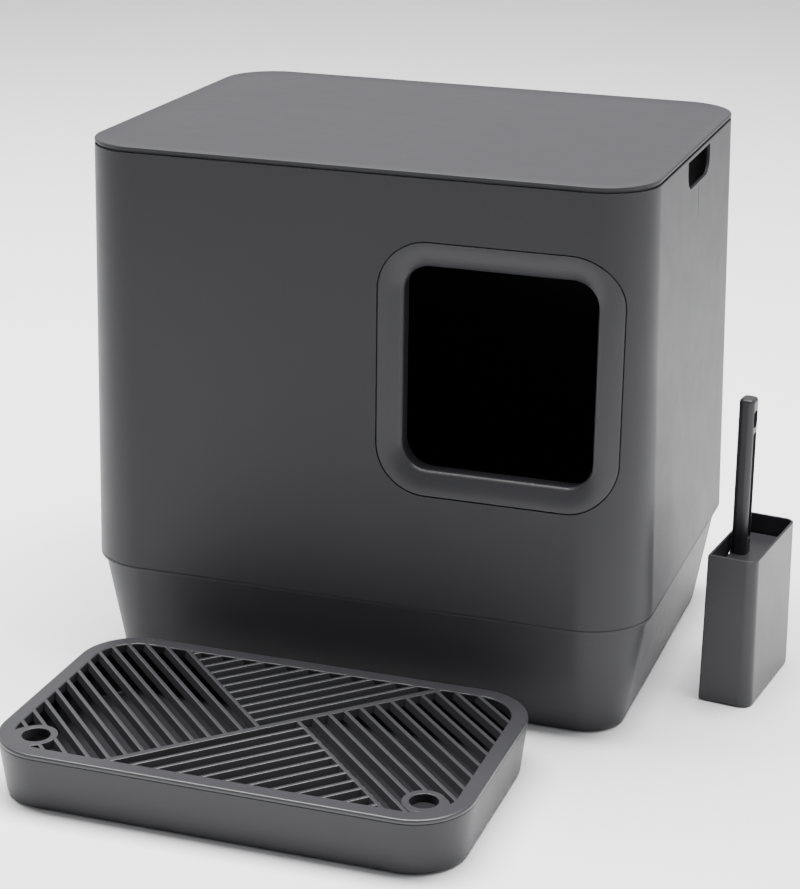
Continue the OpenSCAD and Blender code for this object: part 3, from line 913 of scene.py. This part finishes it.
def make_scoop_handle():
    """Bar with a domed top, a hanging hole, a long recess in two faces and a tang
    whose foot sinks a little towards its middle."""
    top, into_dome = SCOOP_H + HANDLE_L, 4.9
    tang, tang_r, into_tang = -SOCKET_WALL - TANG_FIT, 0.6, 1.5
    foot = SCOOP_H - TANG_L + TANG_FIT
    foot_slope, foot_from = 0.35, 3.2
    profile = fillet([
        (tang - into_tang, foot, 0), (tang, foot, tang_r), (tang, SCOOP_H, 0),
        (0, SCOOP_H, 0.5), (0, top, DOME_R), (-into_dome, top, 0),
    ], steps=7)
    profile = [(grow, z - foot_slope * max(0.0, -grow - foot_from) if z < SCOOP_H else z)
               for grow, z in profile]
    handle = loft("scoop_bar", (HANDLE_T, HANDLE_W), [HANDLE_R] * 4, profile, (HANDLE_T / 2, 0))
    fix_normals(handle)
    hole_z = top - HANG_DROP - HANG_H / 2
    hole = [(y, z + hole_z) for y, z in outline(HANG_W, HANG_H, [HANG_W / 3] * 4, steps=8)]
    cuts = [prism("hang_hole", hole, -PAST, HANDLE_T + PAST, head_on())]
    start = SCOOP_H + RECESS_FOOT
    length = HANDLE_L - RECESS_FOOT - RECESS_HEAD - HANG_H - HANG_DROP
    channel = [(y, z + start + length / 2)
               for y, z in outline(RECESS_W, length, [RECESS_W / 2 - 0.2] * 4, steps=8)]
    for low, high in ((-PAST, RECESS_T), (HANDLE_T - RECESS_T, HANDLE_T + PAST)):
        cuts.append(prism("recess", channel, low, high, head_on()))
    boolean(handle, [fix_normals(cut) for cut in cuts])
    soften(handle, width=0.45, segments=2, angle=45)
    place_piece(handle, scoop_matrix())
    return finish(handle, "scoop", ["scoop_handle"], SCOOP_FINISH)


def make_holder():
    """Tall tapering cup: round corners on one side, square ones on the flat side
    that hangs on a wall, and a hanging slot there."""
    width = SCOOP_D + 2 * (HOLDER_FIT_X + HOLDER_WALL + HOLDER_FLARE)
    depth = SCOOP_W + 2 * (HOLDER_FIT_Y + HOLDER_WALL + HOLDER_FLARE)
    corner = HOLDER_R + HOLDER_FLARE
    inner = -HOLDER_FLARE * HOLDER_FLOOR / HOLDER_H - HOLDER_WALL
    foot_r, rim_r, floor_r = 3.6, 0.8, 3
    profile = fillet([
        (-HOLDER_REACH, 0, 0), (0, 0, foot_r), (-HOLDER_FLARE, HOLDER_H, rim_r),
        (-HOLDER_FLARE - HOLDER_WALL, HOLDER_H, rim_r), (inner, HOLDER_FLOOR, floor_r),
        (-HOLDER_REACH, HOLDER_FLOOR, 0),
    ], steps=6)
    holder = loft("holder_cup", (width, depth), [corner, corner, HOLDER_BACK_R, HOLDER_BACK_R], profile)
    fix_normals(holder)
    hole_z = HOLDER_H - HOOK_DROP
    slot = [(y, z + hole_z) for y, z in outline(HOOK_W, HOOK_H, [HOOK_W / 2 - 0.3] * 4, steps=10)]
    boolean(holder, [fix_normals(prism("hook_slot", slot, -width, 0, head_on()))])
    soften(holder, width=0.4, segments=2, angle=60)
    place_piece(holder, holder_matrix())
    return finish(holder, "holder", ["scoop_holder"], SCOOP_FINISH)


# ---------------------------------------------------------------- stage

def make_camera():
    """The photograph's view, with its optical axis where the set stands at rest."""
    data = bpy.data.cameras.new("camera")
    data.sensor_width = SENSOR_MM
    data.lens = SENSOR_MM * FOCAL_PX / PHOTO_H
    data.shift_x = (PHOTO_W / 2 - AXIS_PX[0]) / PHOTO_H
    data.shift_y = (AXIS_PX[1] - PHOTO_H / 2) / PHOTO_H
    camera = bpy.data.objects.new("camera", data)
    bpy.context.scene.collection.objects.link(camera)
    turn = Matrix.Rotation(radians(CAMERA_TURN), 4, "Z")
    tilt = Matrix.Rotation(radians(90 - CAMERA_TILT), 4, "X")
    roll = Matrix.Rotation(radians(CAMERA_ROLL), 4, "Z")
    camera.matrix_world = Matrix.Translation(Vector(CAMERA_AT) * MM) @ turn @ tilt @ roll
    bpy.context.scene.camera = camera


def area_light(name, place, target, size, power):
    """A rectangular soft light that faces a point."""
    data = bpy.data.lights.new(name, "AREA")
    data.shape = "RECTANGLE"
    data.size, data.size_y = size
    data.energy = power
    light = bpy.data.objects.new(name, data)
    bpy.context.scene.collection.objects.link(light)
    light.location = place
    way = Vector(target) - Vector(place)
    light.rotation_euler = way.to_track_quat("-Z", "Y").to_euler()


def make_stage():
    """Pale floor and soft studio light."""
    half = FLOOR_HALF
    floor = mesh_piece("floor", [(-half, -half, 0), (half, -half, 0), (half, half, 0), (-half, half, 0)],
                       [(0, 1, 2, 3)])
    shader = Shader("floor_paper")
    shader.feed(shader.surface.inputs["Base Color"],
                shader.colour(FLOOR_DARK, FLOOR_PALE, shader.noise(3.0)))
    shader.surface.inputs["Roughness"].default_value = 0.9
    floor.data.materials.append(shader.material)
    world = bpy.data.worlds.new("studio")
    world.use_nodes = True
    background = world.node_tree.nodes["Background"]
    background.inputs["Color"].default_value = (*STUDIO_GREY, 1)
    background.inputs["Strength"].default_value = STUDIO_LIGHT
    bpy.context.scene.world = world
    for light in LIGHTS:
        area_light(*light)


make_camera()
make_stage()
make_pan()
make_hood()
make_lid()
make_entry_frame()
make_tray()
make_grate()
make_scoop_head()
make_scoop_handle()
make_holder()
